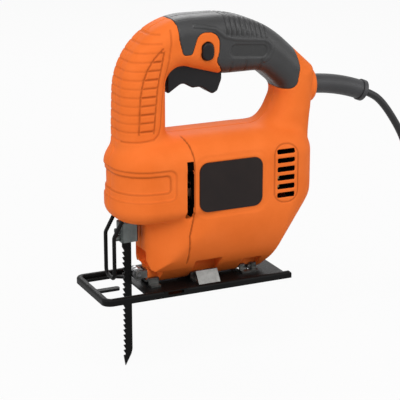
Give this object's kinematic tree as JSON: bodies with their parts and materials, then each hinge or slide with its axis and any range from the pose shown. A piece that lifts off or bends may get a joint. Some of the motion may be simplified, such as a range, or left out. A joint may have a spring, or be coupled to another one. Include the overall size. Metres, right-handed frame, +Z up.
{
  "type": "jigsaw",
  "caption": "Corded jigsaw with a closed D-handle, clamshell body, tilting steel shoe, reciprocating blade, trigger and lock button.",
  "frame": {"origin": "middle of the underside of the shoe plate", "axes": "+X cutting direction, +Y the tool's left side, +Z up"},
  "size_m": [0.4028, 0.0978, 0.2702],
  "materials": {
    "orange_plastic": "fine moulded grain",
    "grip_rubber": "matt soft-touch",
    "black_plastic": "satin",
    "dark_plate": "semi-gloss",
    "black_steel": "black oxide",
    "zinc_steel": "zinc plated",
    "bright_steel": "ground",
    "lamination_steel": "stacked sheet",
    "die_cast": "as cast",
    "copper_wire": "enamelled",
    "bronze": "sintered",
    "carbon": "pressed",
    "white_plastic": "satin",
    "cord_pvc": "satin"
  },
  "bodies": {
    "housing": {"left_housing": "orange_plastic", "right_housing": "orange_plastic", "left_grip": "grip_rubber", "right_grip": "grip_rubber", "side_plate": "dark_plate", "housing_screws": "zinc_steel", "stator_core": "lamination_steel", "field_coils": "copper_wire", "front_bearing": "bright_steel", "rear_bearing": "bright_steel", "bearing_boot": "grip_rubber", "bearing_plate": "die_cast", "brush_holders": "bronze", "carbon_brushes": "carbon", "gear_axle": "bright_steel", "lower_bush": "bronze", "upper_bush": "bronze", "guide_bracket": "zinc_steel", "guide_pin": "bright_steel", "finger_guard": "black_steel", "shoe_screws": "zinc_steel", "switch_module": "black_plastic", "capacitor": "white_plastic", "cord_clamp": "black_plastic", "cord_clamp_screws": "zinc_steel", "strain_relief": "cord_pvc", "cord_tail": "cord_pvc", "cord": "cord_pvc", "cord_coil": "cord_pvc", "coil_tie": "black_plastic", "plug_body": "cord_pvc", "plug_pins": "bright_steel"},
    "armature": {"armature_shaft": "bright_steel", "pinion": "bright_steel", "armature_core": "lamination_steel", "armature_windings": "copper_wire", "commutator": "copper_wire", "fan": "white_plastic"},
    "crank_gear": {"drive_gear": "bright_steel", "crank_pin": "bright_steel", "crank_roller": "bright_steel"},
    "plunger": {"plunger": "bright_steel", "blade_clamp": "zinc_steel", "clamp_screws": "black_steel", "saw_blade": "black_steel"},
    "guide_roller": {"guide_roller": "bright_steel"},
    "shoe": {"shoe_plate": "black_steel", "front_saddle": "zinc_steel", "middle_saddle": "zinc_steel", "rear_saddle": "zinc_steel"},
    "trigger": {"trigger": "black_plastic"},
    "lock_button": {"lock_button": "black_plastic"}
  },
  "joints": [
    {"name": "crank_turn", "type": "hinge", "parent": "housing", "child": "crank_gear", "pos_m": [0.023, 0, 0.0992], "axis": [1, 0, 0], "range_deg": [-90, 90]},
    {"name": "armature_spin", "type": "hinge", "parent": "housing", "child": "armature", "pos_m": [0, 0, 0.078], "axis": [1, 0, 0], "range_deg": [-440, 440]},
    {"name": "plunger_stroke", "type": "slide", "parent": "housing", "child": "plunger", "axis": [0, 0, 1], "range_m": [-0.008, 0.008]},
    {"name": "guide_roller_spin", "type": "hinge", "parent": "housing", "child": "guide_roller", "pos_m": [0.0365, 0, 0.011], "axis": [0, 1, 0], "continuous": true},
    {"name": "shoe_bevel", "type": "hinge", "parent": "housing", "child": "shoe", "pos_m": [0, 0, 0.011], "axis": [1, 0, 0], "range_deg": [-45, 45]},
    {"name": "trigger_pull", "type": "hinge", "parent": "housing", "child": "trigger", "pos_m": [0.0075, 0, 0.176], "axis": [0, 1, 0], "range_deg": [0, 9], "stiffness_Nm_per_rad": 0.6, "springref_deg": -17.19},
    {"name": "lock_press", "type": "slide", "parent": "housing", "child": "lock_button", "axis": [0, -1, 0], "range_m": [0, 0.0022], "stiffness_N_per_m": 600, "springref_m": -0.003}
  ],
  "couplings": [
    {"joint": "crank_turn", "follows": "plunger_stroke", "rad_per_m": 196.35},
    {"joint": "armature_spin", "follows": "plunger_stroke", "rad_per_m": -959.92}
  ]
}
